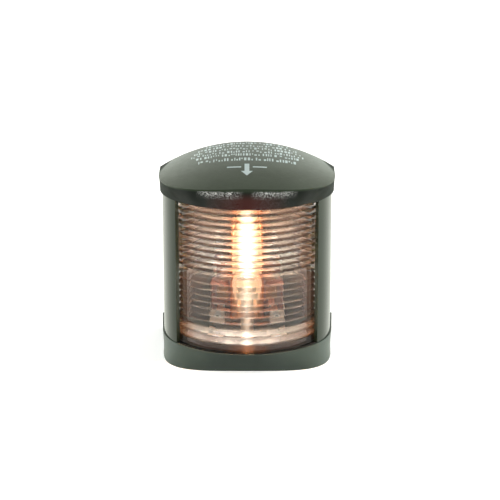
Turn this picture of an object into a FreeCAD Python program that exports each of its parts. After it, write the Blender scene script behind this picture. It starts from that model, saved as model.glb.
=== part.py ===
import FreeCAD, Part
import math
import os

# Bulkhead-mounted marine navigation light with a clear 135 degree lens.
# Millimetres. +Z up, light leaves towards -Y, the wall is the plane Y = 0.
# The origin is the middle of the two mounting holes on the wall plane.

V = FreeCAD.Vector

# Heights, written as distance above the underside of the plinth.
FLOOR = -11.0                # Z of the plinth underside
PLINTH_H = 6.2               # plinth height
POCKET_H = 3.2               # floor of the pocket inside the plinth
SPIGOT_H = 10.2              # top of the upstand inside the lens
SEAL_T = 0.3                 # seal thickness under the hood
HOOD_Z = PLINTH_H + SEAL_T   # underside of lens and cheeks
SKIRT_H = 62.9               # underside of the cap
LENS_TOP_H = 64.9            # top of the lens, inside the cap's groove
GROOVE_H = 65.2              # bottom of that groove, which opens downwards
CREASE_H = 70.8              # front edge of the dome
MID_CREST_H = 75.3           # dome height at mid depth
CREST_H = 76.9               # dome height at the wall
WALL_H = 62.5                # top of the back wall
TONGUE_H = 66.5              # top of the tongue inside the cap
TONGUE_ROOT = 6.0            # how far the tongue runs down the wall

# Plan sizes.
AXIS_Y = -19.0               # vertical axis of lens and cheeks
CAP_HALF = 33.6              # half width of the cap at AXIS_Y
CAP_HALF_REAR = 34.2         # the same at the wall
BASE_HALF = 33.1             # half width of the plinth's top at AXIS_Y
FOOT_HALF = 32.5             # half width of its foot at AXIS_Y
BASE_HALF_REAR = 34.1        # half width of the plinth at the wall
FRONT_D = 32.0               # AXIS_Y to the front of cap brim and plinth foot
SEAM_D = 31.6                # AXIS_Y to the front of plinth top and cap skirt
CAP_N = 3.2                  # superellipse exponent of the cap's brim
FOOT_N = 4.0                 # superellipse exponent of the plinth's foot
DOME_R_REAR = 63.0           # arch radius at the wall
DOME_R_MID = 105.0           # arch radius at mid depth
DOME_R_FRONT = 210.0         # arch radius at the brim
CAP_WALL = 2.2

LENS_R = 31.0                # outer radius of the lens
LENS_RI = 28.5               # inner radius of the lens
LENS_HALF = 62.0             # half angle of the lens
WINDOW_HALF = 56.0           # half angle left open between the cheeks
CHEEK_R = 32.5
CHEEK_REAR = 33.5            # half width over the cheeks at the wall
CHEEK_RI = 28.5
CHEEK_LAP_R = 31.05          # inner radius where a cheek laps over the lens
CHEEK_BACK = -0.3
LENS_END_GAP = 0.2           # degrees between lens and cheek or groove end

BEAD_LOW = 9.7               # two round beads run below the ribs
BEAD_PITCH = 2.95
BEAD_COUNT = 2
BEAD_DEPTH = 0.45
RIB_LOW = BEAD_LOW + BEAD_COUNT * BEAD_PITCH
RIB_PITCH = 2.46
RIB_COUNT = 19
RIB_DEPTH_HIGH = 0.75        # tooth depth above the optical centre
RIB_DEPTH_LOW = 0.20         # tooth depth below it
RIB_BULGE_HIGH = 0.16        # how far a tooth's face is crowned
RIB_BULGE_LOW = 0.05
OPTIC_H = 35.3               # height of the optical centre

SPIGOT_R = 28.1
SPIGOT_RI = 26.5
WALL_HALF = 28.1
WALL_T = 3.2
TONGUE_HALF = 24.0
TONGUE_T = 1.6
TONGUE_GAP = 0.4             # between the tongue and the cap's rear wall
FIN_X = 22.5                 # upright fins on the wall, either side of the lamp
FIN_T = 3.2
FIN_Y = -13.0
FIN_HIGH = 58.0

# Mounting and cable inlet.
HOLE_SPACING = 23.0
HOLE_R = 1.4
PAD_X = 11.9
PAD_W = 5.9
PAD_LOW = 5.6
PAD_HIGH = 13.6
PAD_Y = -7.0
INLET_H = 18.5
INLET_R = 4.0
CABLE_R = 2.3
FLANGE_LAP = 0.8             # grommet flange beyond its hole
GASKET_T = 1.0
GASKET_HALF = 25.6
GASKET_EDGE = 2.6            # from plinth foot and wall top to the gasket
GASKET_WINDOW = 21.0         # half width of the opening in the gasket
GASKET_WINDOW_LOW = 27.0
GASKET_WINDOW_DROP = 7.0
PAD_CHAMFER = 0.35

# Screws that hold the hood.
COVER_X = 30.5
COVER_Y = -13.0
COVER_SHANK_R = 1.20
COVER_HOLE_R = 1.25
COVER_PASS_R = 1.40
COVER_HEAD_R = 2.10
COVER_HEAD_H = 1.6
COVER_RECESS = 2.0
COVER_TOP = 15.0
COVER_SLOT = 0.35            # half width of the slot in the screw's head
COVER_SLOT_DEPTH = 0.7

# Festoon bulb.
BULB_Y = -25.5
BULB_LOW = 18.5
BULB_HIGH = 59.5
GLASS_R = 5.4
GLASS_WALL = 0.6
FERRULE_R = 4.25
FERRULE_TIP_R = 1.2
FERRULE_CONE = 4.5
FERRULE_LEN = 7.0
COIL_R = 0.55
COIL_WIRE = 0.14
COIL_PITCH = 0.9
COIL_LEN = 14.4

# Lamp carrier and contacts.
CARRIER_HALF = 14.25
CARRIER_LOW = 13.7
CARRIER_HIGH = 25.2
CARRIER_CHAMFER = 0.5
CHANNEL_HALF = 5.4
CHANNEL_Y = -8.0
CHANNEL_HIGH = 23.8
STEP_LOW = 20.6
CARRIER_Y = -12.0
STRIP_HALF = 3.5
STRIP_T = 0.5
LEAF_END = -29.0
LEAF_LOW = 19.4
SLOT_R = 2.5
BAR_HALF = 11.8
BAR_LOW = 14.2
BAR_HIGH = 16.2
BAR_T = 1.0
RIVET_X = 9.9
RIVET_R = 0.6
RIVET_HEAD_R = 0.95
RIVET_HEAD_T = 0.5
RIVET_DEPTH = 3.0            # shank inside the carrier
PLATE_HALF = 6.5
PLATE_LOW = 10.9
PLATE_HIGH = 47.0
PLATE_Y = -13.5
PLATE_T = 0.5
PLATE_CORNER = 1.0

# Post that carries the lower contact.
POST_R = 2.4
POST_TOP = 15.5
FLANGE_R = 4.0
FLANGE_T = 0.8
PRONG_Y = 1.2                # half depth of the prongs under the contact

# Terminals, set in the carrier's front.
TERM_X = 9.5
TERM_W = 4.4
TERM_LOW = 17.8
TERM_HIGH = 24.2
TERM_FRONT = -13.0
TERM_REAR = -7.6
TERM_SCREW_H = 21.8
TERM_SCREW_R = 0.90
TERM_HOLE_R = 0.95
TERM_HEAD_R = 1.8
TERM_HEAD_T = 1.0
TERM_WIRE_R = 1.0            # wire hole from above
TERM_TAB = 2.0               # height of the tab from the upper contact


def up(height):
    return FLOOR + height


def box(x0, x1, y0, y1, h0, h1):
    return Part.makeBox(x1 - x0, y1 - y0, h1 - h0, V(x0, y0, up(h0)))


def cyl_z(radius, x, y, h0, h1):
    return Part.makeCylinder(radius, h1 - h0, V(x, y, up(h0)), V(0, 0, 1))


def cyl_y(radius, x, h, y0, y1):
    return Part.makeCylinder(radius, y1 - y0, V(x, y0, up(h)), V(0, 1, 0))


def polar(radius, degrees):
    a = math.radians(degrees)
    return V(radius * math.sin(a), AXIS_Y - radius * math.cos(a), 0)


def fused(shapes):
    result = shapes[0]
    for shape in shapes[1:]:
        result = result.fuse(shape)
    return result.removeSplitter()


def ring_sector(r_in, r_out, a0, a1, h0, h1):
    # Sector of a tube about the lens axis; angles run from the front towards +X.
    mid = 0.5 * (a0 + a1)
    outer = Part.Arc(polar(r_out, a0), polar(r_out, mid), polar(r_out, a1)).toShape()
    end = Part.makeLine(polar(r_out, a1), polar(r_in, a1))
    inner = Part.Arc(polar(r_in, a1), polar(r_in, mid), polar(r_in, a0)).toShape()
    start = Part.makeLine(polar(r_in, a0), polar(r_out, a0))
    face = Part.Face(Part.Wire([outer, end, inner, start]))
    face.translate(V(0, 0, up(h0)))
    return face.extrude(V(0, 0, h1 - h0))


def d_prism(radius, y_back, h0, h1):
    # Half round to the front, straight sides back to y_back.
    right = polar(radius, 90)
    left = polar(radius, -90)
    arc = Part.Arc(left, polar(radius, 0), right).toShape()
    rear_right = V(radius, y_back, 0)
    rear_left = V(-radius, y_back, 0)
    edges = [arc, Part.makeLine(right, rear_right), Part.makeLine(rear_right, rear_left)]
    edges.append(Part.makeLine(rear_left, left))
    face = Part.Face(Part.Wire(edges))
    face.translate(V(0, 0, up(h0)))
    return face.extrude(V(0, 0, h1 - h0))


def outline(half, rear, depth, exponent, height):
    # Closed plan outline: superellipse front, nearly straight sides, flat back.
    points = []
    steps = 48
    for i in range(steps + 1):
        a = math.pi * i / steps
        c = abs(math.cos(a)) / half
        s = abs(math.sin(a)) / depth
        r = (c ** exponent + s ** exponent) ** (-1.0 / exponent)
        points.append(V(-r * math.cos(a), AXIS_Y - r * math.sin(a), up(height)))
    points[0] = V(-half, AXIS_Y, up(height))
    points[-1] = V(half, AXIS_Y, up(height))
    curve = Part.BSplineCurve()
    params = [i / steps for i in range(steps + 1)]
    curve.interpolate(Points=points, Parameters=params)
    rear_right = V(rear, 0, up(height))
    rear_left = V(-rear, 0, up(height))
    edges = [curve.toShape(), Part.makeLine(points[-1], rear_right)]
    edges.append(Part.makeLine(rear_right, rear_left))
    edges.append(Part.makeLine(rear_left, points[0]))
    return Part.Wire(edges)


def dome_wire(y, crest, radius, drop):
    half = 40.0
    rise = radius - math.sqrt(radius * radius - half * half)
    top = up(crest) - drop
    left = V(-half, y, top - rise)
    right = V(half, y, top - rise)
    arc = Part.Arc(left, V(0, y, top), right).toShape()
    low_right = V(half, y, up(20))
    low_left = V(-half, y, up(20))
    edges = [arc, Part.makeLine(right, low_right), Part.makeLine(low_right, low_left)]
    edges.append(Part.makeLine(low_left, left))
    return Part.Wire(edges)


def dome_body(drop):
    # Everything under the dome surface, lowered by drop.
    front_y = AXIS_Y - FRONT_D
    rear = dome_wire(0.0, CREST_H, DOME_R_REAR, drop)
    middle = dome_wire(0.5 * front_y, MID_CREST_H, DOME_R_MID, drop)
    front = dome_wire(front_y - 0.5, CREASE_H - 0.1, DOME_R_FRONT, drop)
    return Part.makeLoft([rear, middle, front], True, False)


def top_cap():
    skirt = outline(CAP_HALF - 0.2, CAP_HALF_REAR, SEAM_D, 2.0, SKIRT_H)
    brim = outline(CAP_HALF, CAP_HALF_REAR, FRONT_D, CAP_N, CREASE_H - 0.9)
    above = outline(CAP_HALF, CAP_HALF_REAR, FRONT_D, CAP_N, CREST_H + 4.0)
    shape = Part.makeLoft([skirt, brim, above], True, True)
    shape = shape.common(dome_body(0.0))
    cavity = d_prism(SPIGOT_RI, -CAP_WALL, SKIRT_H - 1.0, CREST_H + 4.0)
    cavity = cavity.common(dome_body(CAP_WALL))
    shape = shape.cut(cavity)
    half = LENS_HALF + LENS_END_GAP
    groove = ring_sector(LENS_RI - 0.05, LENS_R + 0.05, -half, half, SKIRT_H - 1.0, GROOVE_H)
    return shape.cut(groove)


def cover_hole(side):
    return cyl_z(COVER_HOLE_R, side * COVER_X, COVER_Y, HOOD_Z - 0.5, COVER_TOP + 1.0)


def cheek(side):
    lo = LENS_HALF + LENS_END_GAP
    parts = [ring_sector(CHEEK_LAP_R, CHEEK_R, WINDOW_HALF, lo, HOOD_Z, SKIRT_H)]
    parts.append(ring_sector(CHEEK_RI, CHEEK_R, lo, 90.0, HOOD_Z, SKIRT_H))
    plan = [V(CHEEK_RI, AXIS_Y, up(HOOD_Z)), V(CHEEK_R, AXIS_Y, up(HOOD_Z))]
    plan += [V(CHEEK_REAR, CHEEK_BACK, up(HOOD_Z)), V(CHEEK_RI, CHEEK_BACK, up(HOOD_Z))]
    plan.append(plan[0])
    parts.append(Part.Face(Part.makePolygon(plan)).extrude(V(0, 0, SKIRT_H - HOOD_Z)))
    shape = fused(parts)
    if side < 0:
        shape = shape.mirror(V(0, 0, 0), V(1, 0, 0))
    return shape.cut(cover_hole(side))


def rib_edge(r0, h0, r1, h1, crown):
    # Face of one tooth, crowned outwards, in the plane X = 0.
    start = V(0, AXIS_Y - r0, up(h0))
    end = V(0, AXIS_Y - r1, up(h1))
    length = math.hypot(r1 - r0, h1 - h0)
    mid_r = 0.5 * (r0 + r1) + crown * (h1 - h0) / length
    mid_h = 0.5 * (h0 + h1) - crown * (r1 - r0) / length
    return Part.Arc(start, V(0, AXIS_Y - mid_r, up(mid_h)), end).toShape()


def straight(r0, h0, r1, h1):
    return Part.makeLine(V(0, AXIS_Y - r0, up(h0)), V(0, AXIS_Y - r1, up(h1)))


def rib_edges():
    # The outside of the lens from bottom to top. Teeth lean back above the optical
    # centre and lean forward below it, and each ends in a narrow ledge.
    edges = [straight(LENS_RI, HOOD_Z, LENS_R - RIB_BULGE_LOW, HOOD_Z)]
    radius = LENS_R - RIB_BULGE_LOW
    edges.append(straight(radius, HOOD_Z, radius, BEAD_LOW))
    valley = LENS_R - BEAD_DEPTH
    edges.append(straight(radius, BEAD_LOW, valley, BEAD_LOW))
    for i in range(BEAD_COUNT):
        low = BEAD_LOW + i * BEAD_PITCH
        edges.append(rib_edge(valley, low, valley, low + BEAD_PITCH, BEAD_DEPTH))
    radius = valley
    for i in range(RIB_COUNT):
        low = RIB_LOW + i * RIB_PITCH
        high = low + RIB_PITCH
        above = 0.5 * (low + high) > OPTIC_H
        depth = RIB_DEPTH_HIGH if above else RIB_DEPTH_LOW
        crown = RIB_BULGE_HIGH if above else RIB_BULGE_LOW
        peak = LENS_R - crown
        first = peak if above else peak - depth
        last = peak - depth if above else peak
        if abs(first - radius) > 1e-6:
            edges.append(straight(radius, low, first, low))
        edges.append(rib_edge(first, low, last, high, crown))
        radius = last
    top = RIB_LOW + RIB_COUNT * RIB_PITCH
    edges.append(straight(radius, top, LENS_R - 0.1, top))
    edges.append(straight(LENS_R - 0.1, top, LENS_R - 0.1, LENS_TOP_H))
    edges.append(straight(LENS_R - 0.1, LENS_TOP_H, LENS_RI, LENS_TOP_H))
    edges.append(straight(LENS_RI, LENS_TOP_H, LENS_RI, HOOD_Z))
    return edges


def fresnel_lens():
    face = Part.Face(Part.Wire(rib_edges()))
    face.rotate(V(0, AXIS_Y, 0), V(0, 0, 1), -LENS_HALF)
    return face.revolve(V(0, AXIS_Y, 0), V(0, 0, 1), 2.0 * LENS_HALF)


def lens_top_seal():
    return ring_sector(LENS_RI + 0.3, LENS_R - 0.3, -LENS_HALF, LENS_HALF, LENS_TOP_H, GROOVE_H)


def mount_pad(side):
    x = side * PAD_X
    shape = box(x - 0.5 * PAD_W, x + 0.5 * PAD_W, PAD_Y, -WALL_T, PAD_LOW, PAD_HIGH)
    front = []
    for edge in shape.Edges:
        if edge.BoundBox.YMax < PAD_Y + 0.01:
            front.append(edge)
    shape = shape.makeChamfer(PAD_CHAMFER, front)
    return shape.cut(cyl_y(HOLE_R, side * 0.5 * HOLE_SPACING, -FLOOR, PAD_Y - 1.0, 1.0))


def base_housing():
    foot = outline(FOOT_HALF, BASE_HALF_REAR, FRONT_D, FOOT_N, 0.0)
    top = outline(BASE_HALF, BASE_HALF_REAR, SEAM_D, 2.0, PLINTH_H)
    shape = Part.makeLoft([foot, top], True, True)
    shape = shape.cut(d_prism(SPIGOT_RI, -WALL_T, POCKET_H, PLINTH_H + 1.0))
    spigot = d_prism(SPIGOT_R, -WALL_T, PLINTH_H - 1.0, SPIGOT_H)
    spigot = spigot.cut(d_prism(SPIGOT_RI, 1.0, PLINTH_H - 2.0, SPIGOT_H + 1.0))
    wall = box(-WALL_HALF, WALL_HALF, -WALL_T, 0.0, 1.0, WALL_H)
    front = -WALL_T - TONGUE_T
    tongue = box(-TONGUE_HALF, TONGUE_HALF, front, -WALL_T, WALL_H - TONGUE_ROOT, TONGUE_H)
    rib = box(-TONGUE_HALF, TONGUE_HALF, front, -CAP_WALL - TONGUE_GAP, WALL_H - 1.0, TONGUE_H)
    fins = []
    for side in (-1, 1):
        x0 = min(side * FIN_X, side * (FIN_X + FIN_T))
        fins.append(box(x0, x0 + FIN_T, FIN_Y, -WALL_T, SPIGOT_H, FIN_HIGH))
    shape = fused([shape, spigot, wall, tongue, rib] + fins)
    for side in (-1, 1):
        shape = shape.cut(cyl_y(HOLE_R, side * 0.5 * HOLE_SPACING, -FLOOR, -WALL_T - 1.0, 1.0))
        x = side * COVER_X
        shape = shape.cut(cyl_z(COVER_PASS_R, x, COVER_Y, -1.0, PLINTH_H + 1.0))
        shape = shape.cut(cyl_z(COVER_HEAD_R + 0.1, x, COVER_Y, -1.0, COVER_RECESS))
    shape = shape.cut(cyl_y(INLET_R, 0.0, INLET_H, -WALL_T - 1.0, 1.0))
    return shape.cut(gasket_blank())


def gasket_blank():
    return box(-GASKET_HALF, GASKET_HALF, -GASKET_T, 0.0, GASKET_EDGE, WALL_H - GASKET_EDGE)


def back_gasket():
    shape = gasket_blank()
    for side in (-1, 1):
        shape = shape.cut(cyl_y(HOLE_R, side * 0.5 * HOLE_SPACING, -FLOOR, -3.0, 1.0))
    high = WALL_H - GASKET_WINDOW_DROP
    shape = shape.cut(box(-GASKET_WINDOW, GASKET_WINDOW, -GASKET_T - 1.0, 1.0, GASKET_WINDOW_LOW, high))
    return shape.cut(cyl_y(INLET_R + 0.1, 0.0, INLET_H, -3.0, 1.0))


def cable_grommet():
    barrel = cyl_y(INLET_R, 0.0, INLET_H, -WALL_T - 0.5, 0.0)
    flange = cyl_y(INLET_R + FLANGE_LAP, 0.0, INLET_H, -WALL_T - 1.5, -WALL_T)
    shape = fused([barrel, flange])
    return shape.cut(cyl_y(CABLE_R, 0.0, INLET_H, -WALL_T - 3.0, 1.0))


def base_seal():
    # Set back from lens and cheeks, so that a dark seam is left all round.
    edge = outline(CHEEK_R - 0.3, CHEEK_R - 0.3, LENS_R - 0.1, 2.0, PLINTH_H)
    outer = Part.Face(edge).extrude(V(0, 0, SEAL_T))
    shape = outer.cut(d_prism(LENS_RI + 0.2, 5.0, PLINTH_H - 1.0, HOOD_Z + 1.0))
    for side in (-1, 1):
        shape = shape.cut(cyl_z(COVER_PASS_R, side * COVER_X, COVER_Y, PLINTH_H - 1.0, HOOD_Z + 1.0))
    return shape


def rivet(x, h, y_face):
    shank = cyl_y(RIVET_R, x, h, y_face, CARRIER_Y + RIVET_DEPTH)
    head = cyl_y(RIVET_HEAD_R, x, h, y_face - RIVET_HEAD_T, y_face)
    return fused([shank, head])


def carrier_rivets():
    h = 0.5 * (BAR_LOW + BAR_HIGH)
    left = rivet(-RIVET_X, h, CARRIER_Y - BAR_T)
    right = rivet(RIVET_X, h, CARRIER_Y - BAR_T)
    return Part.makeCompound([left, right])


def plate_rivet():
    return rivet(0.0, 0.5 * (STEP_LOW + CARRIER_HIGH), PLATE_Y - PLATE_T)


def lamp_carrier():
    shape = box(-CARRIER_HALF, CARRIER_HALF, CARRIER_Y, -WALL_T, CARRIER_LOW, CARRIER_HIGH)
    front = []
    for edge in shape.Edges:
        if edge.BoundBox.YMax < CARRIER_Y + 0.01:
            front.append(edge)
    shape = shape.makeChamfer(CARRIER_CHAMFER, front)
    # The channel behind leads the cable from its grommet down to the plinth.
    shape = shape.cut(box(-CHANNEL_HALF, CHANNEL_HALF, CHANNEL_Y, 0.0, CARRIER_LOW - 1.0, CHANNEL_HIGH))
    # The step behind the upper contact keeps the reflector plate parallel to the wall.
    step = box(-PLATE_HALF, PLATE_HALF, PLATE_Y, CARRIER_Y, STEP_LOW, CARRIER_HIGH)
    shape = fused([shape, step.cut(contact_upper_blank())])
    for side in (-1, 1):
        x = side * TERM_X
        pocket = box(x - 0.5 * TERM_W, x + 0.5 * TERM_W, CARRIER_Y - 1.0, TERM_REAR, TERM_LOW, TERM_HIGH)
        shape = shape.cut(pocket)
    shape = shape.cut(carrier_rivets())
    return shape.cut(plate_rivet())


def contact_bar():
    y1 = CARRIER_Y
    strip = box(-BAR_HALF, BAR_HALF, y1 - BAR_T, y1, BAR_LOW, BAR_HIGH)
    tab = box(TERM_X - 1.2, TERM_X + 1.2, y1 - BAR_T, y1, BAR_HIGH, TERM_LOW)
    return fused([strip, tab]).cut(carrier_rivets())


def leaf(h0, h1, y_root):
    shape = box(-STRIP_HALF, STRIP_HALF, LEAF_END, y_root, h0, h1)
    slot = box(-SLOT_R, SLOT_R, LEAF_END - 1.0, BULB_Y, h0 - 1.0, h1 + 1.0)
    shape = shape.cut(slot)
    return shape.cut(cyl_z(SLOT_R, 0.0, BULB_Y, h0 - 1.0, h1 + 1.0))


def contact_lower():
    y_front = CARRIER_Y - BAR_T - STRIP_T
    leg = box(-STRIP_HALF, STRIP_HALF, y_front, y_front + STRIP_T, BAR_LOW, LEAF_LOW + STRIP_T)
    return fused([leg, leaf(LEAF_LOW, LEAF_LOW + STRIP_T, y_front + STRIP_T)])


def contact_upper_blank():
    high = BULB_LOW + BULB_HIGH - LEAF_LOW
    strip = box(-STRIP_HALF, STRIP_HALF, CARRIER_Y - STRIP_T, CARRIER_Y, STEP_LOW, high)
    tab_high = TERM_HIGH - 0.4
    tab_end = -TERM_X + 0.5 * TERM_W
    tab = box(tab_end, -STRIP_HALF, CARRIER_Y - STRIP_T, CARRIER_Y, tab_high - TERM_TAB, tab_high)
    return fused([strip, tab])


def contact_upper():
    high = BULB_LOW + BULB_HIGH - LEAF_LOW
    shape = fused([contact_upper_blank(), leaf(high - STRIP_T, high, CARRIER_Y)])
    return shape.cut(plate_rivet())


def reflector_plate():
    shape = box(-PLATE_HALF, PLATE_HALF, PLATE_Y - PLATE_T, PLATE_Y, PLATE_LOW, PLATE_HIGH)
    corners = []
    for edge in shape.Edges:
        if edge.BoundBox.ZLength < 0.01 and edge.BoundBox.XLength < 0.01:
            corners.append(edge)
    shape = shape.makeFillet(PLATE_CORNER, corners)
    half = STRIP_HALF + 0.3
    slot = box(-half, half, PLATE_Y - 2.0, PLATE_Y + 1.0, LEAF_LOW - 0.3, LEAF_LOW + STRIP_T + 0.3)
    return shape.cut(slot).cut(plate_rivet())


def contact_post():
    post = cyl_z(POST_R, 0.0, BULB_Y, POCKET_H, POST_TOP)
    flange = cyl_z(FLANGE_R, 0.0, BULB_Y, POST_TOP - FLANGE_T, POST_TOP)
    left = box(-STRIP_HALF, -SLOT_R - 0.1, BULB_Y - PRONG_Y, BULB_Y + PRONG_Y, POST_TOP, LEAF_LOW)
    right = box(SLOT_R + 0.1, STRIP_HALF, BULB_Y - PRONG_Y, BULB_Y + PRONG_Y, POST_TOP, LEAF_LOW)
    return fused([post, flange, left, right])


def terminal(side):
    x = side * TERM_X
    shape = box(x - 0.5 * TERM_W, x + 0.5 * TERM_W, TERM_FRONT, TERM_REAR, TERM_LOW, TERM_HIGH)
    shape = shape.cut(cyl_y(TERM_HOLE_R, x, TERM_SCREW_H, TERM_FRONT - 1.0, TERM_FRONT + 3.4))
    return shape.cut(cyl_z(TERM_WIRE_R, x, TERM_FRONT + 2.6, TERM_SCREW_H - 2.2, TERM_HIGH + 1.0))


def terminal_screw(side):
    x = side * TERM_X
    h = TERM_SCREW_H
    face = TERM_FRONT - TERM_HEAD_T
    head = cyl_y(TERM_HEAD_R, x, h, face, TERM_FRONT)
    shank = cyl_y(TERM_SCREW_R, x, h, TERM_FRONT, TERM_FRONT + 1.5)
    slot = box(x - 2.5, x + 2.5, face - 1.0, face + 0.5, h - 0.25, h + 0.25)
    return fused([head, shank]).cut(slot)


def cover_screw(side):
    x = side * COVER_X
    face = COVER_RECESS - COVER_HEAD_H
    head = cyl_z(COVER_HEAD_R, x, COVER_Y, face, COVER_RECESS)
    shank = cyl_z(COVER_SHANK_R, x, COVER_Y, COVER_RECESS, COVER_TOP)
    depth = face + COVER_SLOT_DEPTH
    slot = box(x - 3.0, x + 3.0, COVER_Y - COVER_SLOT, COVER_Y + COVER_SLOT, face - 1.0, depth)
    return fused([head, shank]).cut(slot)


def bulb_glass():
    low = BULB_LOW + FERRULE_LEN - 1.2
    high = BULB_HIGH - FERRULE_LEN + 1.2
    neck = FERRULE_R - 0.5
    shoulder = 2.6
    profile = [(neck, low), (neck, low + 1.25), (GLASS_R, low + 1.25 + shoulder)]
    profile += [(GLASS_R, high - 1.25 - shoulder), (neck, high - 1.25), (neck, high)]
    inner = [(r - GLASS_WALL, h) for r, h in reversed(profile)]
    corners = [V(r, BULB_Y, up(h)) for r, h in profile + inner]
    corners.append(corners[0])
    face = Part.Face(Part.makePolygon(corners))
    return face.revolve(V(0, BULB_Y, 0), V(0, 0, 1), 360)


def ferrule():
    # Lower end cap; the upper one is its mirror image.
    h0 = BULB_LOW
    h1 = BULB_LOW + FERRULE_CONE
    h2 = BULB_LOW + FERRULE_LEN
    seat = h2 - 1.2
    neck = FERRULE_R - 0.5
    profile = [(0, h0), (FERRULE_TIP_R, h0), (FERRULE_R, h1), (FERRULE_R, h2), (neck, h2)]
    profile += [(neck, seat), (0, seat)]
    corners = [V(r, BULB_Y, up(h)) for r, h in profile]
    corners.append(corners[0])
    face = Part.Face(Part.makePolygon(corners))
    return face.revolve(V(0, BULB_Y, 0), V(0, 0, 1), 360)


def bulb_cap(side):
    shape = ferrule()
    if side > 0:
        shape = shape.mirror(V(0, 0, up(0.5 * (BULB_LOW + BULB_HIGH))), V(0, 0, 1))
    return shape


def bulb_filament():
    mid = 0.5 * (BULB_LOW + BULB_HIGH)
    low = up(mid - 0.5 * COIL_LEN)
    helix = Part.makeHelix(COIL_PITCH, COIL_LEN, COIL_R)
    helix.translate(V(0, BULB_Y, low))
    start = V(COIL_R, BULB_Y, low)
    tangent = V(0, 2.0 * math.pi * COIL_R, COIL_PITCH)
    ring = Part.Wire(Part.makeCircle(COIL_WIRE, start, tangent))
    return Part.Wire(helix.Edges).makePipeShell([ring], True, True)


def bulb_supports():
    mid = 0.5 * (BULB_LOW + BULB_HIGH)
    low = BULB_LOW + FERRULE_LEN - 1.2
    high = BULB_HIGH - FERRULE_LEN + 1.2
    gap = COIL_WIRE + 0.05
    x = COIL_R
    lower = cyl_z(0.2, x, BULB_Y, low, mid - 0.5 * COIL_LEN - gap)
    upper = cyl_z(0.2, x, BULB_Y, mid + 0.5 * COIL_LEN + gap, high)
    return Part.makeCompound([lower, upper])


NODES = {
    "base_housing": base_housing,
    "back_gasket": back_gasket,
    "cable_grommet": cable_grommet,
    "base_seal": base_seal,
    "lamp_carrier": lamp_carrier,
    "contact_bar": contact_bar,
    "carrier_rivets": carrier_rivets,
    "plate_rivet": plate_rivet,
    "reflector_plate": reflector_plate,
    "contact_upper": contact_upper,
    "contact_lower": contact_lower,
    "terminal_left": lambda: terminal(-1),
    "terminal_right": lambda: terminal(1),
    "terminal_screw_left": lambda: terminal_screw(-1),
    "terminal_screw_right": lambda: terminal_screw(1),
    "contact_post": contact_post,
    "mount_pad_left": lambda: mount_pad(-1),
    "mount_pad_right": lambda: mount_pad(1),
    "top_cap": top_cap,
    "cheek_left": lambda: cheek(-1),
    "cheek_right": lambda: cheek(1),
    "fresnel_lens": fresnel_lens,
    "lens_top_seal": lens_top_seal,
    "cover_screw_left": lambda: cover_screw(-1),
    "cover_screw_right": lambda: cover_screw(1),
    "bulb_glass": bulb_glass,
    "bulb_cap_lower": lambda: bulb_cap(-1),
    "bulb_cap_upper": lambda: bulb_cap(1),
    "bulb_filament": bulb_filament,
    "bulb_supports": bulb_supports,
}

os.makedirs("parts", exist_ok=True)
for name, make in NODES.items():
    solid = make()
    solid.exportStep(os.path.join("parts", name + ".step"))
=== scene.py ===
import math
import random

import bmesh
import bpy
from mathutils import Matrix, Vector
from mathutils.bvhtree import BVHTree


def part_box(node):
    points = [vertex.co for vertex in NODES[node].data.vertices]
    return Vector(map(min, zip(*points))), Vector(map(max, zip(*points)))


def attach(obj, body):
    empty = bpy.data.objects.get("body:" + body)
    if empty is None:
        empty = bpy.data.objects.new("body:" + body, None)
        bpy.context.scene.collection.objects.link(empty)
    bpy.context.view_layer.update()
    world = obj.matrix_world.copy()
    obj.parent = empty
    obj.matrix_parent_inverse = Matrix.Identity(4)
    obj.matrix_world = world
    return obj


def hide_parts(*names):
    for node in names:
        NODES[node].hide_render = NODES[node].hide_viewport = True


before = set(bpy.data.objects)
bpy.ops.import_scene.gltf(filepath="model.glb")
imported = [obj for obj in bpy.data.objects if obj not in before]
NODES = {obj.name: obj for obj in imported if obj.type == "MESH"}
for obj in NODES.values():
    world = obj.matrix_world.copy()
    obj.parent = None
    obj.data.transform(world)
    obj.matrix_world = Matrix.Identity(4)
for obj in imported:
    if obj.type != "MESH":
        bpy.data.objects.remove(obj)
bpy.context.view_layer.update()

MM = 0.001

# Places and sizes in millimetres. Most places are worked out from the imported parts.
FLOOR_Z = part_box("base_housing")[0][2] / MM
LENS_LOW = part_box("fresnel_lens")[0][2] / MM
LENS_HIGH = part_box("fresnel_lens")[1][2] / MM
PLINTH_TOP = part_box("base_seal")[0][2] / MM
PLATE_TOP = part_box("reflector_plate")[1][2] / MM
PLATE_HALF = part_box("reflector_plate")[1][0] / MM
SKIRT_TOP = FLOOR_Z + 69.9   # where the dome's brim ends and the cap's upright skirt begins
CAP_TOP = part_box("top_cap")[1][2] / MM
BULB_Y = 0.5 * (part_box("bulb_glass")[0][1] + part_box("bulb_glass")[1][1]) / MM
GLOW_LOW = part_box("bulb_filament")[0][2] / MM
GLOW_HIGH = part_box("bulb_filament")[1][2] / MM
LENS_R = 31.0                # outer radius of the lens
LENS_RI = 28.5               # inner radius of the lens
LENS_HALF = 62.0             # half angle of the lens, in degrees
BEAD_LOW = FLOOR_Z + 9.7     # foot of the two round beads
BEAD_PITCH = 2.95
BEAD_COUNT = 2
BEAD_DEPTH = 0.45
RIB_LOW = BEAD_LOW + BEAD_COUNT * BEAD_PITCH
RIB_PITCH = 2.46
RIB_COUNT = 19
RIB_HIGH_COUNT = 11          # deep teeth, above the optical centre
OPTIC_Z = RIB_LOW + (RIB_COUNT - RIB_HIGH_COUNT) * RIB_PITCH
RIB_DEPTH_HIGH = 0.75
RIB_DEPTH_LOW = 0.20
RIB_BULGE_HIGH = 0.16
RIB_BULGE_LOW = 0.05
AXIS_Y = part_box("fresnel_lens")[0][1] / MM + LENS_R


# ---------------------------------------------------------------- materials

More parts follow.
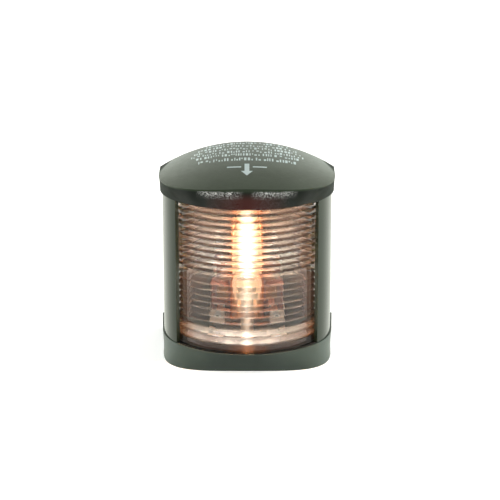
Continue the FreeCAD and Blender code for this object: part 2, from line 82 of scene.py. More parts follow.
def new_material(name):
    mat = bpy.data.materials.new(name)
    mat.use_nodes = True
    mat.node_tree.nodes.clear()
    return mat


def add(mat, kind, **inputs):
    node = mat.node_tree.nodes.new(kind)
    for key, value in inputs.items():
        node.inputs[key.replace("_", " ")].default_value = value
    return node


def link(mat, a, b):
    mat.node_tree.links.new(a, b)


def coords(mat):
    return add(mat, "ShaderNodeTexCoord").outputs["Object"]


def noise(mat, scale, detail=3.0, roughness=0.5, stretch=None):
    node = add(mat, "ShaderNodeTexNoise", Scale=scale, Detail=detail, Roughness=roughness)
    place = coords(mat)
    if stretch is not None:
        mapping = mat.node_tree.nodes.new("ShaderNodeMapping")
        mapping.inputs["Scale"].default_value = stretch
        link(mat, place, mapping.inputs["Vector"])
        place = mapping.outputs["Vector"]
    link(mat, place, node.inputs["Vector"])
    return node.outputs["Fac"]


def axis_value(mat, axis):
    node = mat.node_tree.nodes.new("ShaderNodeSeparateXYZ")
    link(mat, coords(mat), node.inputs["Vector"])
    return node.outputs[axis]


def from_middle(mat):
    # Distance to the left or right of the light's middle plane.
    return maths(mat, "ABSOLUTE", axis_value(mat, "X"), 0.0)


def ramp(mat, value, stops):
    node = mat.node_tree.nodes.new("ShaderNodeValToRGB")
    elements = node.color_ramp.elements
    while len(elements) < len(stops):
        elements.new(0.5)
    for element, (position, colour) in zip(elements, stops):
        element.position = position
        element.color = (*colour, 1.0)
    link(mat, value, node.inputs["Fac"])
    return node.outputs["Color"]


def remap(mat, value, from_low, from_high, low=0.0, high=1.0):
    node = mat.node_tree.nodes.new("ShaderNodeMapRange")
    node.inputs["From Min"].default_value = from_low
    node.inputs["From Max"].default_value = from_high
    node.inputs["To Min"].default_value = low
    node.inputs["To Max"].default_value = high
    link(mat, value, node.inputs["Value"])
    return node.outputs["Result"]


def span(mat, value, from_low, from_high, low=0.0, high=1.0):
    # remap for a place or a length, with its own range given in millimetres.
    return remap(mat, value, from_low * MM, from_high * MM, low, high)


def maths(mat, kind, a, b):
    node = mat.node_tree.nodes.new("ShaderNodeMath")
    node.operation = kind
    for socket, value in zip(node.inputs, (a, b)):
        if isinstance(value, (int, float)):
            socket.default_value = value
        else:
            link(mat, value, socket)
    return node.outputs["Value"]


def times(mat, a, b):
    return maths(mat, "MULTIPLY", a, b)


def plus(mat, a, b):
    return maths(mat, "ADD", a, b)


def larger(mat, a, b):
    return maths(mat, "MAXIMUM", a, b)


def gap_from(mat, value, middle):
    # How far a value is from a middle, to either side.
    return maths(mat, "ABSOLUTE", maths(mat, "SUBTRACT", value, middle), 0.0)


def blend_colour(mat, factor, a, b):
    node = mat.node_tree.nodes.new("ShaderNodeMix")
    node.data_type = "RGBA"
    link(mat, factor, node.inputs["Factor"])
    link(mat, a, node.inputs["A"])
    if isinstance(b, tuple):
        node.inputs["B"].default_value = (*b, 1.0)
    else:
        link(mat, b, node.inputs["B"])
    return node.outputs["Result"]


def bump(mat, height, distance, strength=1.0, under=None):
    node = add(mat, "ShaderNodeBump", Strength=strength, Distance=distance)
    link(mat, height, node.inputs["Height"])
    if under is not None:
        link(mat, under, node.inputs["Normal"])
    return node.outputs["Normal"]


def output(mat, shader):
    out = mat.node_tree.nodes.new("ShaderNodeOutputMaterial")
    link(mat, shader, out.inputs["Surface"])
    return mat


def plastic(name, dark, light, rough, grain, depth, stain_and_painted_light=None, polish=None):
    # rough is a range. grain is the scale of the surface's texture, and depth its depth in metres.
    # stain_and_painted_light, where given, changes the colour: painted light on the cap, dark brown inside
    # the hood, heat marks on the plate and strips.
    mat = new_material(name)
    shader = add(mat, "ShaderNodeBsdfPrincipled", IOR=1.5)
    colour = ramp(mat, noise(mat, 90.0, 4.0), [(0.3, dark), (0.7, light)])
    if stain_and_painted_light is not None:
        colour = stain_and_painted_light(mat, colour)
    link(mat, colour, shader.inputs["Base Color"])
    gloss = remap(mat, noise(mat, 420.0), 0.0, 1.0, *rough)
    if polish is not None:
        gloss = polish(mat, gloss)
    link(mat, gloss, shader.inputs["Roughness"])
    fine = bump(mat, noise(mat, grain * 2.3, 2.0), depth * 0.5)
    link(mat, bump(mat, noise(mat, grain, 2.0), depth, 1.0, fine), shader.inputs["Normal"])
    return output(mat, shader.outputs["BSDF"])


METAL_GRAIN_DEPTH = 4e-6     # metres


def metal(name, dark, light, rough, stain_and_painted_light=None):
    mat = new_material(name)
    shader = add(mat, "ShaderNodeBsdfPrincipled", Metallic=1.0)
    colour = ramp(mat, noise(mat, 700.0, 5.0, 0.6), [(0.35, dark), (0.65, light)])
    if stain_and_painted_light is not None:
        colour = stain_and_painted_light(mat, colour)
    link(mat, colour, shader.inputs["Base Color"])
    link(mat, remap(mat, noise(mat, 1500.0), 0.0, 1.0, *rough), shader.inputs["Roughness"])
    link(mat, bump(mat, noise(mat, 2600.0), METAL_GRAIN_DEPTH), shader.inputs["Normal"])
    return output(mat, shader.outputs["BSDF"])


def mixed(mat, factor, a, b):
    node = mat.node_tree.nodes.new("ShaderNodeMixShader")
    link(mat, factor, node.inputs["Fac"])
    link(mat, a, node.inputs[1])
    link(mat, b, node.inputs[2])
    return node.outputs["Shader"]


def clear(name, tint, rough, ior, scatter=None):
    # Refracts for the camera and lets light rays straight through, so that the lamp lights the inside.
    # scatter, where given, says how much of the surface scatters the lamp's light instead.
    mat = new_material(name)
    glass = add(mat, "ShaderNodeBsdfPrincipled", IOR=ior)
    glass.inputs["Base Color"].default_value = (*tint, 1.0)
    glass.inputs["Transmission Weight"].default_value = 1.0
    link(mat, remap(mat, noise(mat, 350.0), 0.0, 1.0, *rough), glass.inputs["Roughness"])
    body = glass.outputs["BSDF"]
    if scatter is not None:
        cloud = add(mat, "ShaderNodeBsdfTranslucent")
        link(mat, cloud_colour(mat), cloud.inputs["Color"])
        body = mixed(mat, scatter(mat), body, cloud.outputs["BSDF"])
    through = add(mat, "ShaderNodeBsdfTransparent")
    through.inputs["Color"].default_value = (*tint, 1.0)
    path = mat.node_tree.nodes.new("ShaderNodeLightPath")
    return output(mat, mixed(mat, path.outputs["Is Shadow Ray"], body, through.outputs["BSDF"]))


# How much of the lamp's light each part of the lens scatters, from 0 to 1.
HAZE_TOOTH = 0.098           # crests of the deep teeth
HAZE_VALLEY = 0.001          # between them
HAZE_LEDGE = 0.040           # ledges of the shallow teeth
HAZE_FAINT = 0.003           # between those
HAZE_BEAD = 0.200
HAZE_PLAIN = 0.001
GLARE_STREAK = 0.35           # painted glare, an upright streak in front of the lamp
FOOT_GLINT = 0.07             # painted warm glint under the beads
BORDER = 0.1                 # half width of the change from one band of the lens to the next
BEAD_FADE = 0.4              # height over which the foot's look takes over from the beads'

# The colours of that scattered light: a painted tint of the lamp's light, by place on the lens.
CLOUD_OPTIC = (0.78, 0.84, 0.90)
CLOUD_ABOVE = (0.64, 0.83, 1.0)
CLOUD_TOP = (0.98, 0.9, 0.84)
CLOUD_LAMP_LOW = (1.0, 0.42, 0.22)
CLOUD_LAMP_HIGH = (1.0, 0.62, 0.40)
FOOT_GLINT_TINT = (1.0, 0.42, 0.18)
CLOUD_EDGE = (0.85, 0.42, 0.22)


def cloud_colour(mat):
    # Painted tint of the lamp's light: cool over the optical centre, warmer at the top, orange beside the
    # lamp, at the foot and at the edges.
    z = axis_value(mat, "Z")
    across = from_middle(mat)
    height = span(mat, z, OPTIC_Z, LENS_HIGH)
    tone = ramp(mat, height, [(0.0, CLOUD_OPTIC), (0.3, CLOUD_ABOVE), (0.9, CLOUD_TOP)])
    lamp_tone = ramp(mat, height, [(0.0, CLOUD_LAMP_LOW), (0.3, CLOUD_LAMP_HIGH)])
    beside_lamp = times(mat, span(mat, across, 10.0, 5.5, 0.0, 0.85), span(mat, across, 2.0, 4.0))
    beside_lamp = times(mat, beside_lamp, span(mat, z, RIB_LOW, RIB_LOW + 1.0))
    tone = blend_colour(mat, beside_lamp, tone, lamp_tone)
    tone = blend_colour(mat, span(mat, z, BEAD_LOW, BEAD_LOW - BEAD_FADE), tone, FOOT_GLINT_TINT)
    return blend_colour(mat, span(mat, across, 19.0, 24.0), tone, CLOUD_EDGE)


def along_pitch(mat, z, low, pitch):
    # 0 to 1 up each step of a profile that repeats from low upwards.
    steps = maths(mat, "DIVIDE", maths(mat, "SUBTRACT", z, low * MM), pitch * MM)
    return maths(mat, "FRACT", steps, 0.0)


def rib_haze(mat):
    # Strong on the beads and the deep upper teeth, a thin line at each low tooth's ledge, faint elsewhere.
    z = axis_value(mat, "Z")
    across = from_middle(mat)
    up_rib = along_pitch(mat, z, RIB_LOW, RIB_PITCH)

    tooth = remap(mat, gap_from(mat, up_rib, 0.55), 0.23, 0.05, HAZE_VALLEY, HAZE_TOOTH)
    tooth = times(mat, tooth, span(mat, z, LENS_HIGH - 18.0, LENS_HIGH - 6.0, 2.3, 1.3))
    tooth = times(mat, tooth, span(mat, z, OPTIC_Z, OPTIC_Z + 5.0, 0.5, 1.0))
    ledge = remap(mat, gap_from(mat, up_rib, 0.5), 0.30, 0.44, HAZE_FAINT, HAZE_LEDGE)
    high = span(mat, z, OPTIC_Z - BORDER, OPTIC_Z + BORDER)
    ribs = plus(mat, times(mat, tooth, high), times(mat, ledge, maths(mat, "SUBTRACT", 1.0, high)))
    ribs = times(mat, ribs, span(mat, z, RIB_LOW - BORDER, RIB_LOW + BORDER))

    up_bead = along_pitch(mat, z, BEAD_LOW, BEAD_PITCH)
    beads = times(mat, span(mat, z, BEAD_LOW - BORDER, BEAD_LOW + BORDER),
                  span(mat, z, RIB_LOW + BORDER, RIB_LOW - BORDER))
    beads = times(mat, beads, remap(mat, gap_from(mat, up_bead, 0.5), 0.46, 0.2, 0.25, 1.0))
    total = plus(mat, ribs, times(mat, beads, HAZE_BEAD))

    # Fainter towards the masks, stronger in front of the lamp.
    total = times(mat, total, span(mat, across, 18.0, 24.5, 1.0, 0.16))
    total = times(mat, total, span(mat, across, 14.0, 6.0, 1.0, 2.1))

    # Painted glare: a narrow upright streak in front of the lamp.
    narrow = span(mat, across, 3.2, 0.2)
    streak = times(mat, times(mat, narrow, narrow), plus(mat, times(mat, total, 3.0), 0.4))
    total = plus(mat, total, times(mat, streak, GLARE_STREAK))
    # Painted warm glint at the foot, under the beads.
    foot = times(mat, span(mat, z, BEAD_LOW, BEAD_LOW - BEAD_FADE),
                 span(mat, across, 9.0, 0.4, 0.0, FOOT_GLINT))
    total = plus(mat, plus(mat, total, foot), HAZE_PLAIN)
    wear = remap(mat, noise(mat, 260.0, 3.0, 0.5, (0.7, 0.7, 1.0)), 0.35, 0.65, 0.6, 1.3)
    return times(mat, total, wear)


# Dark brown inside the hood, painted light and a dark skirt on the cap, and heat marks on the plate and
# strips.
INSIDE_BROWN_DARK = (0.020, 0.0085, 0.005)
INSIDE_BROWN_PALE = (0.031, 0.0135, 0.008)
REDDENED = (0.20, 0.055, 0.018)
SCORCHED = (0.06, 0.020, 0.010)
DOME_REAR_LIGHT = (0.105, 0.135, 0.115)
SKIRT_DARK = (0.016, 0.020, 0.016)
SKIRT_LAMP_GLOW = (0.085, 0.026, 0.022)
GLINT_PALE = (0.95, 0.96, 0.92)


def inside_hood(mat, most=1.0):
    # 0 on the outside of the plinth and wall, and up to most on what the hood covers.
    above = span(mat, axis_value(mat, "Z"), PLINTH_TOP, PLINTH_TOP + 0.4)
    return times(mat, above, span(mat, axis_value(mat, "Y"), -1.4, -1.8, 0.0, most))


def brown_inside_hood(mat, colour):
    # The moulding's own colour outside, and dark brown inside the hood.
    brown = ramp(mat, noise(mat, 160.0, 4.0), [(0.3, INSIDE_BROWN_DARK), (0.7, INSIDE_BROWN_PALE)])
    return blend_colour(mat, inside_hood(mat), colour, brown)


def scorched_top(mat, colour):
    # The plate and the strips are reddened at the sides and blackened towards the top by years of heat.
    sides = span(mat, from_middle(mat), PLATE_HALF - 2.6, PLATE_HALF - 0.2)
    colour = blend_colour(mat, sides, colour, REDDENED)
    height = span(mat, axis_value(mat, "Z"), PLATE_TOP - 8.0, PLATE_TOP - 2.0)
    return blend_colour(mat, height, colour, SCORCHED)


def dull_inside(mat, rough):
    # Rougher inside the hood, where it is dark brown.
    return plus(mat, rough, inside_hood(mat, 0.5))


def cap_tones_and_painted_light(mat, colour):
    # Painted light on the cap: a painted paler rear of the dome and a painted warm glow of the lamp in the
    # middle of the skirt's front. The skirt is also darker.
    y = axis_value(mat, "Y")
    z = axis_value(mat, "Z")
    across = from_middle(mat)
    front = span(mat, y, AXIS_Y - 24.0, AXIS_Y - 26.0)
    # Where the lamp's warm glow is painted onto the middle of the skirt's front.
    warm = times(mat, span(mat, z, SKIRT_TOP - 0.5, SKIRT_TOP - 3.5), front)
    warm = times(mat, warm, span(mat, across, 16.0, 3.0))
    colour = blend_colour(mat, span(mat, y, -36.0, -2.0, 0.0, 0.75), colour, DOME_REAR_LIGHT)
    colour = blend_colour(mat, span(mat, z, SKIRT_TOP, SKIRT_TOP - 0.8), colour, SKIRT_DARK)
    colour = blend_colour(mat, warm, colour, SKIRT_LAMP_GLOW)
    # Painted glints: fine pale specks under the brim, in two patches either side of the middle.
    patch = span(mat, gap_from(mat, across, 10.0 * MM), 9.0, 4.5)
    band = times(mat, span(mat, z, SKIRT_TOP + 0.1, SKIRT_TOP - 0.4),
                 span(mat, z, SKIRT_TOP - 3.4, SKIRT_TOP - 0.7, 0.06, 1.0))
    place = times(mat, times(mat, patch, band), front)
    glint_speck = times(mat, remap(mat, noise(mat, 2800.0, 2.0), 0.50, 0.555),
                  remap(mat, noise(mat, 700.0), 0.25, 0.5, 0.3, 1.0))
    return blend_colour(mat, times(mat, place, glint_speck), colour, GLINT_PALE)


def skirt_polish(mat, rough):
    # Coarse spark-eroded grain on the dome, glossier on the front of the skirt, duller at the skirt's ends.
    skirt = span(mat, axis_value(mat, "Z"), SKIRT_TOP, SKIRT_TOP - 0.6)
    change = times(mat, skirt, span(mat, from_middle(mat), 21.0, 28.0, -0.2, 1.2))
    return times(mat, rough, plus(mat, change, 1.0))


def paler(colour, factor):
    return tuple(min(1.0, c * factor) for c in colour)


def glowing(name, colour, strength):
    mat = new_material(name)
    shader = add(mat, "ShaderNodeEmission", Strength=strength)
    shine = ramp(mat, noise(mat, 900.0), [(0.3, colour), (0.7, paler(colour, 1.15))])
    link(mat, shine, shader.inputs["Color"])
    return output(mat, shader.outputs["Emission"])


def glow_shell(name, colour, strength, alpha):
    # One thin shell of painted glare round the lamp, glowing though it is no lamp: it shines a little and
    # hides little of what is behind it.
    mat = new_material(name)
    shader = add(mat, "ShaderNodeBsdfPrincipled", Roughness=1.0, Alpha=alpha)
    shader.inputs["Base Color"].default_value = (0.0, 0.0, 0.0, 1.0)
    shader.inputs["Specular IOR Level"].default_value = 0.0
    shader.inputs["Emission Strength"].default_value = strength
    shine = ramp(mat, noise(mat, 500.0), [(0.3, colour), (0.7, paler(colour, 1.1))])
    link(mat, shine, shader.inputs["Emission Color"])
    return output(mat, shader.outputs["BSDF"])


HOUSING = plastic("grained_housing", (0.050, 0.064, 0.052), (0.062, 0.078, 0.064), rough=(0.38, 0.5),
                  grain=1700.0, depth=2.5e-5, stain_and_painted_light=brown_inside_hood, polish=dull_inside)
CAP = plastic("grained_cap", (0.032, 0.045, 0.026), (0.043, 0.058, 0.036), rough=(0.30, 0.44),
              grain=1700.0, depth=4.0e-5, stain_and_painted_light=cap_tones_and_painted_light, polish=skirt_polish)
MASK = plastic("gloss_mask", (0.013, 0.019, 0.011), (0.017, 0.024, 0.014), rough=(0.14, 0.2),
               grain=2200.0, depth=4e-6)
RUBBER = plastic("black_rubber", (0.012, 0.012, 0.012), (0.02, 0.02, 0.02), rough=(0.6, 0.8),
                 grain=2500.0, depth=1e-5)
RESIN = plastic("brown_resin", (0.045, 0.012, 0.008), (0.07, 0.018, 0.011), rough=(0.35, 0.5),
                grain=1500.0, depth=8e-6)
SPACER = plastic("pale_spacer", (0.62, 0.48, 0.38), (0.74, 0.59, 0.49), rough=(0.35, 0.5),
                 grain=1500.0, depth=6e-6)
PRINT = plastic("pale_print", (0.46, 0.55, 0.55), (0.60, 0.69, 0.68), rough=(0.45, 0.6),
                grain=2200.0, depth=4e-6)
BRONZE = metal("dark_bronze", (0.10, 0.045, 0.02), (0.17, 0.075, 0.035), rough=(0.35, 0.5))
BRASS = metal("warm_brass", (0.66, 0.38, 0.2), (0.86, 0.58, 0.36), rough=(0.32, 0.46), stain_and_painted_light=scorched_top)
COPPER = metal("dull_copper", (0.4, 0.13, 0.07), (0.66, 0.26, 0.15), rough=(0.3, 0.45))
STEEL = metal("plated_steel", (0.30, 0.26, 0.21), (0.46, 0.41, 0.35), rough=(0.28, 0.42))
LENS = clear("clear_lens", (0.985, 0.98, 0.965), rough=(0.0, 0.03), ior=1.49, scatter=rib_haze)
BULB_GLASS = clear("bulb_glass", (1.0, 0.99, 0.97), rough=(0.0, 0.02), ior=1.03)
FILAMENT = glowing("hot_filament", (1.0, 0.6, 0.38), strength=800.0)

FINISH = {
    HOUSING: ["base_housing"],
    CAP: ["top_cap"],
    MASK: ["cheek_left", "cheek_right"],
    RUBBER: ["base_seal", "lens_top_seal", "cable_grommet", "back_gasket"],
    RESIN: ["lamp_carrier"],
    SPACER: ["mount_pad_left", "mount_pad_right"],
    BRASS: ["contact_upper", "contact_lower", "reflector_plate", "contact_post"],
    BRONZE: ["terminal_left", "terminal_right", "terminal_screw_left", "terminal_screw_right"],
    COPPER: ["contact_bar", "carrier_rivets", "plate_rivet"],
    STEEL: ["cover_screw_left", "cover_screw_right", "bulb_supports", "bulb_cap_lower", "bulb_cap_upper"],
    LENS: ["fresnel_lens"],
    BULB_GLASS: ["bulb_glass"],
    FILAMENT: ["bulb_filament"],
}


def paint(obj, mat):
    obj.data.materials.clear()
    obj.data.materials.append(mat)


for finish, names in FINISH.items():
    for node_name in names:
        paint(NODES[node_name], finish)


def soften(node_name, width, segments=3, angle=32.0):
    bevel = NODES[node_name].modifiers.new("soft_edges", "BEVEL")
    bevel.width = width * MM
    bevel.segments = segments
    bevel.limit_method = "ANGLE"
    bevel.angle_limit = math.radians(angle)
    bevel.harden_normals = True


# Angles in degrees past which an edge stays sharp.
LENS_CREASE = 16.0
GLOW_CREASE = 60.0
PRINT_CREASE = 30.0


def mesh_piece(name, points, faces, mat, body, slot):
    mesh = bpy.data.meshes.new(name)
    mesh.from_pydata([tuple(c * MM for c in p) for p in points], [], faces)
    mesh.materials.append(mat)
    obj = bpy.data.objects.new(name, mesh)
    bpy.context.scene.collection.objects.link(obj)
    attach(obj, body)
    return obj


def tidy_normals(obj, sharp_degrees):
    # Outward normals, smooth faces and edges kept sharp past an angle.
    work = bmesh.new()
    work.from_mesh(obj.data)
    bmesh.ops.remove_doubles(work, verts=work.verts, dist=1e-7)
    bmesh.ops.recalc_face_normals(work, faces=work.faces)
    limit = math.radians(sharp_degrees)
    for face in work.faces:
        face.smooth = True
    for edge in work.edges:
        edge.smooth = edge.calc_face_angle(0.0) < limit
    work.to_mesh(obj.data)
    work.free()


# ---------------------------------------------------------------- lens

ARC_STEPS = 6                # straight pieces in a tooth's crowned face
LENS_TURN_STEPS = 124        # steps around the lens
LENS_RIM_STEP = 0.1          # how far the plain top rim stands back


def bulged(r0, z0, r1, z1, crown):
    # Points along a tooth's face from (r0, z0) to (r1, z1), crowned outwards.
    length = math.hypot(r1 - r0, z1 - z0)
    out_r = (z1 - z0) / length
    out_z = -(r1 - r0) / length
    points = []
    for i in range(ARC_STEPS + 1):
        t = i / ARC_STEPS
        lift = 4.0 * crown * t * (1.0 - t)
        points.append((r0 + t * (r1 - r0) + lift * out_r, z0 + t * (z1 - z0) + lift * out_z))
    return points


def lens_profile():
    points = [(LENS_RI, LENS_LOW), (LENS_R - RIB_BULGE_LOW, LENS_LOW), (LENS_R - RIB_BULGE_LOW, BEAD_LOW)]
    valley = LENS_R - BEAD_DEPTH
    for i in range(BEAD_COUNT):
        low = BEAD_LOW + i * BEAD_PITCH
        points += bulged(valley, low, valley, low + BEAD_PITCH, BEAD_DEPTH)
    for i in range(RIB_COUNT):
        low = RIB_LOW + i * RIB_PITCH
        high = low + RIB_PITCH
        if i >= RIB_COUNT - RIB_HIGH_COUNT:
            peak = LENS_R - RIB_BULGE_HIGH
            points += bulged(peak, low, peak - RIB_DEPTH_HIGH, high, RIB_BULGE_HIGH)
        else:
            peak = LENS_R - RIB_BULGE_LOW
            points += bulged(peak - RIB_DEPTH_LOW, low, peak, high, RIB_BULGE_LOW)
    top = RIB_LOW + RIB_COUNT * RIB_PITCH
    rim = LENS_R - LENS_RIM_STEP
    points += [(rim, top), (rim, LENS_HIGH), (LENS_RI, LENS_HIGH)]
    return points


def lens():
    profile = lens_profile()
    count = len(profile)
    points = []
    faces = []
    for step in range(LENS_TURN_STEPS + 1):
        a = math.radians(LENS_HALF * (2.0 * step / LENS_TURN_STEPS - 1.0))
        points += [(r * math.sin(a), AXIS_Y - r * math.cos(a), z) for r, z in profile]
    for step in range(LENS_TURN_STEPS):
        base = step * count
        for i in range(count):
            j = (i + 1) % count
            faces.append((base + i, base + j, base + count + j, base + count + i))
    faces.append(tuple(range(count)))
    faces.append(tuple(reversed(range(LENS_TURN_STEPS * count, LENS_TURN_STEPS * count + count))))
    obj = mesh_piece("ribbed_lens", points, faces, LENS, "hood", "clear_lens")
    tidy_normals(obj, LENS_CREASE)
    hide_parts("fresnel_lens")


# ---------------------------------------------------------------- glow of the lamp

GLOW_COLOUR = (1.0, 0.68, 0.42)
# Radius, strength and cover of each shell.
GLOW_SHELLS = [(1.6, 24.0, 0.5), (2.6, 9.0, 0.4), (3.5, 4.5, 0.3), (4.2, 2.6, 0.22), (4.75, 1.6, 0.16)]
GLOW_REACH = 0.8             # how far a shell goes past the coil's ends, in its own radii
GLOW_ROUND = 0.6             # below 1 makes the shells' ends blunter than an ellipsoid's
GLOW_AROUND = 32
GLOW_ALONG = 20
# The outermost shell, round the whole bulb.
HALO_R = 5.9
HALO_RISE = 2.6              # above the coil
HALO_DROP = 0.5              # under the bulb's lower cap
HALO_STRENGTH = 1.15
HALO_COVER = 0.28


def glow():
    # Nested round-ended shells of painted glare about the coil.
    middle = 0.5 * (GLOW_LOW + GLOW_HIGH)
    half = 0.5 * (GLOW_HIGH - GLOW_LOW)
    shells = [(radius, middle, half + GLOW_REACH * radius, strength, alpha)
              for radius, strength, alpha in GLOW_SHELLS]
    halo_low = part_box("bulb_cap_lower")[0][2] / MM - HALO_DROP
    halo_high = GLOW_HIGH + HALO_RISE
    halo_middle = 0.5 * (halo_low + halo_high)
    shells.append((HALO_R, halo_middle, halo_high - halo_middle, HALO_STRENGTH, HALO_COVER))
    for number, (radius, centre, reach, strength, alpha) in enumerate(shells):
        points = []
        faces = []
        for i in range(GLOW_ALONG + 1):
            # The small offset leaves a tiny ring, not a single point, at each end.
            t = math.pi * (i + 0.02) / (GLOW_ALONG + 0.04)
            z = centre - reach * math.cos(t)
            r = radius * math.sin(t) ** GLOW_ROUND
            for k in range(GLOW_AROUND):
                a = 2.0 * math.pi * k / GLOW_AROUND
                points.append((r * math.cos(a), BULB_Y + r * math.sin(a), z))
        for i in range(GLOW_ALONG):
            low = i * GLOW_AROUND
            high = low + GLOW_AROUND
            for k in range(GLOW_AROUND):
                m = (k + 1) % GLOW_AROUND
                faces.append((low + k, low + m, high + m, high + k))
        faces.append(tuple(reversed(range(GLOW_AROUND))))
        faces.append(tuple(range(GLOW_ALONG * GLOW_AROUND, (GLOW_ALONG + 1) * GLOW_AROUND)))
        mat = glow_shell("painted_glare_%d" % number, GLOW_COLOUR, strength, alpha)
        obj = mesh_piece("lamp_glow_%d" % number, points, faces, mat, "bulb", "filament_wire")
        tidy_normals(obj, GLOW_CREASE)
        obj.visible_shadow = False
        obj.visible_diffuse = False


# ---------------------------------------------------------------- printed marks on the dome

PRINT_PROUD = 0.03           # how far the print stands on the dome
PRINT_SUNK = 0.25            # and how far it goes in
ROW_Y = [-3.0, -6.8, -10.6, -14.4, -18.2, -23.4]
ROW_HALF = [16.0, 19.0, 20.5, 21.5, 19.5, 18.5]
ROW_DEPTH = [2.2, 2.3, 2.4, 2.5, 2.6, 3.0]


def dome_tree():
    mesh = NODES["top_cap"].data
    return BVHTree.FromPolygons([v.co[:] for v in mesh.vertices], [p.vertices[:] for p in mesh.polygons])


def on_dome(tree, x, y):
    hit = tree.ray_cast(Vector((x, y, CAP_TOP + 10.0)) * MM, Vector((0, 0, -1)))
    return hit[0].z / MM


def laid_strip(tree, corners, columns):
    # A thin slab over a four-sided patch of the dome; corners run left to right, then front to back.
    (x0, y0), (x1, y1), (x2, y2), (x3, y3) = corners
    points = []
    faces = []
    for i in range(columns + 1):
        t = i / columns
        for xa, ya, xb, yb in ((x0, y0, x1, y1), (x3, y3, x2, y2)):
            x = xa + t * (xb - xa)
            y = ya + t * (yb - ya)
            z = on_dome(tree, x, y)
            points += [(x, y, z - PRINT_SUNK), (x, y, z + PRINT_PROUD)]
    for i in range(columns):
        a = 4 * i
        b = a + 4
        faces += [(a + 1, b + 1, b + 3, a + 3), (a, a + 2, b + 2, b), (a, b, b + 1, a + 1),
                  (a + 2, a + 3, b + 3, b + 2)]
    last = 4 * columns
    faces += [(0, 1, 3, 2), (last, last + 2, last + 3, last + 1)]
    return points, faces


def joined(parts):
    points = []
    faces = []
    for more_points, more_faces in parts:
        offset = len(points)
        points += more_points
        faces += [tuple(offset + i for i in face) for face in more_faces]
    return points, faces


def marks():
    tree = dome_tree()
    random.seed(7)
    ticks = []
    for y, half, depth in zip(ROW_Y, ROW_HALF, ROW_DEPTH):
        x = -half
        while x < half:
            width = random.choice((0.4, 0.55, 0.9))
            gap = random.choice((0.4, 0.5, 0.6, 1.1))
            low, high = random.choice(((0.0, 1.0), (0.0, 0.55), (0.45, 1.0), (0.0, 1.0)))
            near = y + (low - 0.5) * depth
            far = y + (high - 0.5) * depth
            ticks.append(laid_strip(tree, [(x, near), (x + width, near), (x + width, far), (x, far)], 1))
            x += width + gap
    obj = mesh_piece("printed_ticks", *joined(ticks), PRINT, "hood", "cap_plastic")
    tidy_normals(obj, PRINT_CREASE)

    stem = [(-0.9, -35.5), (0.9, -35.5), (0.9, -28.5), (-0.9, -28.5)]
    head = [(-0.05, -39.5), (0.05, -39.5), (2.2, -35.5), (-2.2, -35.5)]
    left_bar = [(-7.5, -32.1), (-2.2, -32.1), (-2.2, -31.1), (-7.5, -31.1)]
    right_bar = [(2.2, -32.1), (7.5, -32.1), (7.5, -31.1), (2.2, -31.1)]
    shapes = [laid_strip(tree, stem, 4), laid_strip(tree, head, 4)]
    shapes += [laid_strip(tree, left_bar, 6), laid_strip(tree, right_bar, 6)]
    obj = mesh_piece("printed_arrow", *joined(shapes), PRINT, "hood", "cap_plastic")
    tidy_normals(obj, PRINT_CREASE)


# ---------------------------------------------------------------- stage, light and camera

FLOOR_GAP = 0.05             # keeps the floor off the plinth's underside
FLOOR_HALF = 4.0             # half the floor's side, in metres
FLOOR_DARK = (0.9, 0.9, 0.89)
FLOOR_PALE = (0.92, 0.92, 0.91)
SWEEP_TINT = (0.97, 1.0, 0.90)
WHITE = (1.0, 1.0, 1.0)
SHADE = 0.06                 # the least light from any direction

# Distance in metres; the other lengths are millimetres.
CAMERA_DISTANCE = 0.70
CAMERA_TILT = math.radians(16.6)
CAMERA_TARGET = Vector((1.15, -20.0, FLOOR_Z + 38.4)) * MM
CAMERA_SENSOR = 36.0
CAMERA_LENS = 130.0

# Name, place, width, height (metres) and power (watts); all face the same point.
LIGHTS_FACE = (0.0, -0.02, 0.03)
LIGHTS = [
    ("soft_left", (-0.75, 0.12, 0.16), 0.6, 0.3, 11.0),
    ("soft_right", (0.75, 0.12, 0.16), 0.6, 0.3, 14.0),
    ("soft_top", (0.0, 0.2, 1.0), 0.9, 0.6, 1.0),
    ("soft_front", (0.0, -0.9, 0.3), 0.9, 0.5, 4.5),
]


def floor():
    # Shines a little, and more with distance, so that it meets the white backdrop without a line.
    mesh = bpy.data.meshes.new("floor")
    z = (FLOOR_Z - FLOOR_GAP) * MM
    corners = [(-FLOOR_HALF, -FLOOR_HALF, z), (FLOOR_HALF, -FLOOR_HALF, z),
               (FLOOR_HALF, FLOOR_HALF, z), (-FLOOR_HALF, FLOOR_HALF, z)]
    mesh.from_pydata(corners, [], [(0, 1, 2, 3)])
    obj = bpy.data.objects.new("floor", mesh)
    bpy.context.scene.collection.objects.link(obj)
    mat = new_material("pale_floor")
    shader = add(mat, "ShaderNodeBsdfPrincipled", Roughness=0.7)
    shader.inputs["Emission Color"].default_value = (*WHITE, 1.0)
    away = mat.node_tree.nodes.new("ShaderNodeVectorMath")
    away.operation = "LENGTH"
    link(mat, coords(mat), away.inputs[0])
    link(mat, remap(mat, away.outputs["Value"], 0.15, 0.9, 0.3, 1.0), shader.inputs["Emission Strength"])
    pale = ramp(mat, noise(mat, 3.0), [(0.3, FLOOR_DARK), (0.7, FLOOR_PALE)])
    link(mat, pale, shader.inputs["Base Color"])
    output(mat, shader.outputs["BSDF"])
    mesh.materials.append(mat)
    obj.visible_diffuse = False
    obj.visible_glossy = False


def area(name, place, target, width, height, power):
    # Not mirrored in the gloss: the studio's sweeps do that.
    data = bpy.data.lights.new(name, "AREA")
    data.shape = "RECTANGLE"
    data.size = width
    data.size_y = height
    data.energy = power
    obj = bpy.data.objects.new(name, data)
    obj.location = place
    direction = Vector(target) - Vector(place)
    obj.rotation_euler = direction.to_track_quat("-Z", "Y").to_euler()
    obj.visible_glossy = False
    obj.visible_transmission = False
    bpy.context.scene.collection.objects.link(obj)


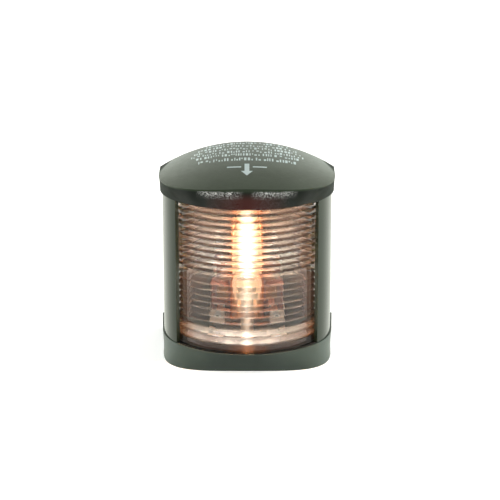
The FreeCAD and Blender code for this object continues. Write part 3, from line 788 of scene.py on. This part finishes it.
def studio_world():
    # White sweeps to the sides and behind, a soft light above, dark in front but for a low band, and plain
    # white to look at.
    world = bpy.data.worlds.new("studio")
    bpy.context.scene.world = world
    world.use_nodes = True
    world.node_tree.nodes.clear()
    way = add(world, "ShaderNodeTexCoord").outputs["Generated"]
    split = world.node_tree.nodes.new("ShaderNodeSeparateXYZ")
    link(world, way, split.inputs["Vector"])
    x = split.outputs["X"]
    y = split.outputs["Y"]
    z = split.outputs["Z"]

    side = times(world, remap(world, maths(world, "ABSOLUTE", x, 0.0), 0.3, 0.9, 0.0, 0.9),
                 remap(world, y, 0.1, 0.7, 0.35, 1.25))
    side = times(world, side, remap(world, x, -1.0, 1.0, 0.9, 1.2))
    back = times(world, remap(world, y, 0.1, 0.8, 0.0, 1.2), remap(world, z, 0.70, 0.3, 0.07, 1.1))
    table = times(world, remap(world, y, 0.3, 0.9), remap(world, z, 0.0, -0.12))
    near = times(world, remap(world, z, 0.0, -0.1), remap(world, z, -0.34, -0.22))
    near = times(world, remap(world, y, -0.7, -0.9, 0.0, 0.5), near)
    top = times(world, remap(world, z, 0.35, 0.95, 0.0, 0.15), remap(world, y, -0.5, 0.4, 0.6, 1.0))
    total = plus(world, larger(world, side, larger(world, back, table)), SHADE)
    total = larger(world, total, larger(world, top, near))

    to_camera = world.node_tree.nodes.new("ShaderNodeLightPath").outputs["Is Camera Ray"]
    shader = world.node_tree.nodes.new("ShaderNodeBackground")
    link(world, larger(world, total, to_camera), shader.inputs["Strength"])
    link(world, ramp(world, to_camera, [(0.0, SWEEP_TINT), (1.0, WHITE)]), shader.inputs["Color"])
    out = world.node_tree.nodes.new("ShaderNodeOutputWorld")
    link(world, shader.outputs["Background"], out.inputs["Surface"])


def lighting():
    studio_world()
    for name, place, width, height, power in LIGHTS:
        area(name, place, LIGHTS_FACE, width, height, power)


def camera():
    data = bpy.data.cameras.new("camera")
    obj = bpy.data.objects.new("camera", data)
    bpy.context.scene.collection.objects.link(obj)
    bpy.context.scene.camera = obj
    back_off = Vector((0.0, -math.cos(CAMERA_TILT), math.sin(CAMERA_TILT)))
    obj.location = CAMERA_TARGET + CAMERA_DISTANCE * back_off
    obj.rotation_euler = (math.radians(90.0) - CAMERA_TILT, 0.0, 0.0)
    data.sensor_width = CAMERA_SENSOR
    data.lens = CAMERA_LENS
    data.clip_start = 0.01
    data.clip_end = 50.0
    bpy.context.scene.view_settings.view_transform = "Standard"


soften("top_cap", 1.2, 5)
soften("base_housing", 0.6, 3)
soften("cheek_left", 0.25, 2)
soften("cheek_right", 0.25, 2)
lens()
glow()
marks()
floor()
lighting()
camera()
